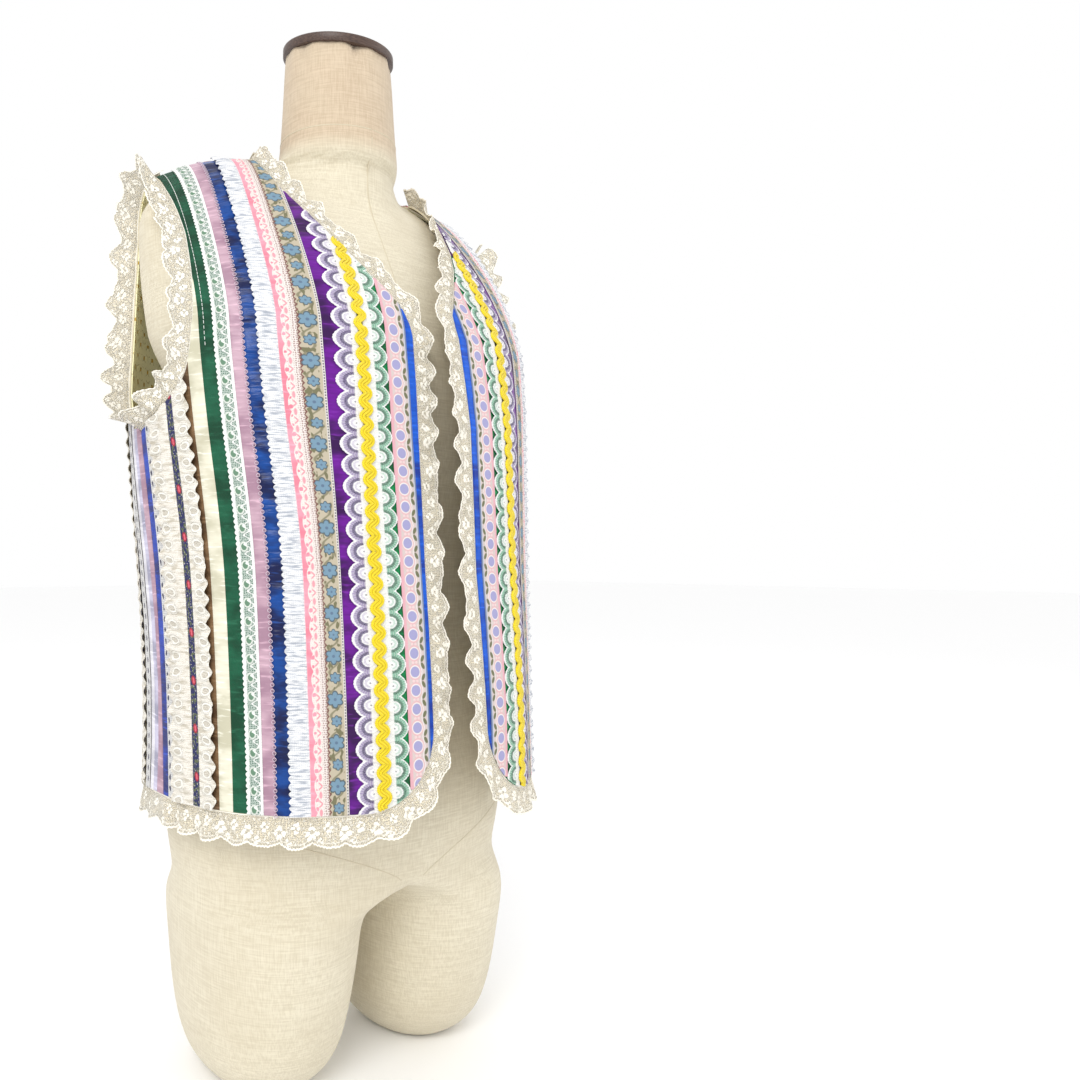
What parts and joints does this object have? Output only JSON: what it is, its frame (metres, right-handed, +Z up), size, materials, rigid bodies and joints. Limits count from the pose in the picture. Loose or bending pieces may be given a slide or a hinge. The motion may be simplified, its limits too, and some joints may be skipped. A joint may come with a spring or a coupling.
{
  "type": "patchwork vest on a limbless dress form",
  "caption": "Sleeveless open-front vest sewn from upright strips of ribbon, braid and lace, on a linen-covered limbless dress form.",
  "frame": {"origin": "on the floor under the middle of the whole box; the axis of the form's neck stands at x 0, y 0.0219", "axes": "+Z up, the wearer's front faces -Y, the wearer's left is +X"},
  "size_m": [0.4218, 0.2968, 0.9101],
  "materials": {
    "beige_blue": "matte woven",
    "cap_brown": "satin",
    "cream_cloth": "matte woven",
    "cream_lace": "matte woven",
    "cream_satin": "satin",
    "emerald": "satin",
    "green_vine": "matte woven",
    "green_white": "matte woven",
    "lavender_white": "matte woven",
    "lilac_braid": "matte woven",
    "linen": "woven",
    "mauve": "satin",
    "navy": "satin",
    "pink": "satin",
    "pink_cream": "matte woven",
    "purple": "satin",
    "rosebud": "matte woven",
    "royal_blue": "satin",
    "white": "matte woven",
    "yellow": "corded",
    "yellow_print": "matte woven"
  },
  "bodies": {
    "root": {"back": "cream_cloth", "back_centre_ribbon": "yellow", "back_hem_lace": "cream_lace", "back_lining": "yellow_print", "back_neck_lace": "cream_lace", "form_body": "linen", "form_neck_cap": "cap_brown", "left_armhole_lace": "cream_lace", "left_back_inner_ribbons": "purple", "left_back_middle_ribbons": "pink_cream", "left_back_outer_ribbons": "emerald", "left_back_side_ribbons": "cream_satin", "left_beading_lace": "pink_cream", "left_blue_ribbon": "royal_blue", "left_cream_satin": "cream_satin", "left_emerald_ribbon": "emerald", "left_flower_braid": "beige_blue", "left_front": "cream_cloth", "left_front_lace": "cream_lace", "left_green_lace": "green_white", "left_inner_ruffle": "cream_lace", "left_lavender_lace": "lavender_white", "left_mauve_satin": "mauve", "left_outer_ruffle": "cream_lace", "left_oval_braid": "lilac_braid", "left_pink_ribbon": "pink", "left_purple_satin": "purple", "left_rosebud_braid": "rosebud", "left_royal_satin": "navy", "left_slotted_lace": "white", "left_vine_lace": "green_vine", "left_white_ruffle": "white", "left_yellow_gimp": "yellow", "right_armhole_lace": "cream_lace", "right_back_inner_ribbons": "purple", "right_back_middle_ribbons": "pink_cream", "right_back_outer_ribbons": "emerald", "right_back_side_ribbons": "cream_satin", "right_beading_lace": "pink_cream", "right_blue_ribbon": "royal_blue", "right_cream_satin": "cream_satin", "right_emerald_ribbon": "emerald", "right_flower_braid": "beige_blue", "right_front": "cream_cloth", "right_front_lace": "cream_lace", "right_green_lace": "green_white", "right_inner_ruffle": "cream_lace", "right_lavender_lace": "lavender_white", "right_mauve_satin": "mauve", "right_outer_ruffle": "cream_lace", "right_oval_braid": "lilac_braid", "right_pink_ribbon": "pink", "right_purple_satin": "purple", "right_rosebud_braid": "rosebud", "right_royal_satin": "navy", "right_slotted_lace": "white", "right_vine_lace": "green_vine", "right_white_ruffle": "white", "right_yellow_gimp": "yellow"}
  },
  "joints": []
}
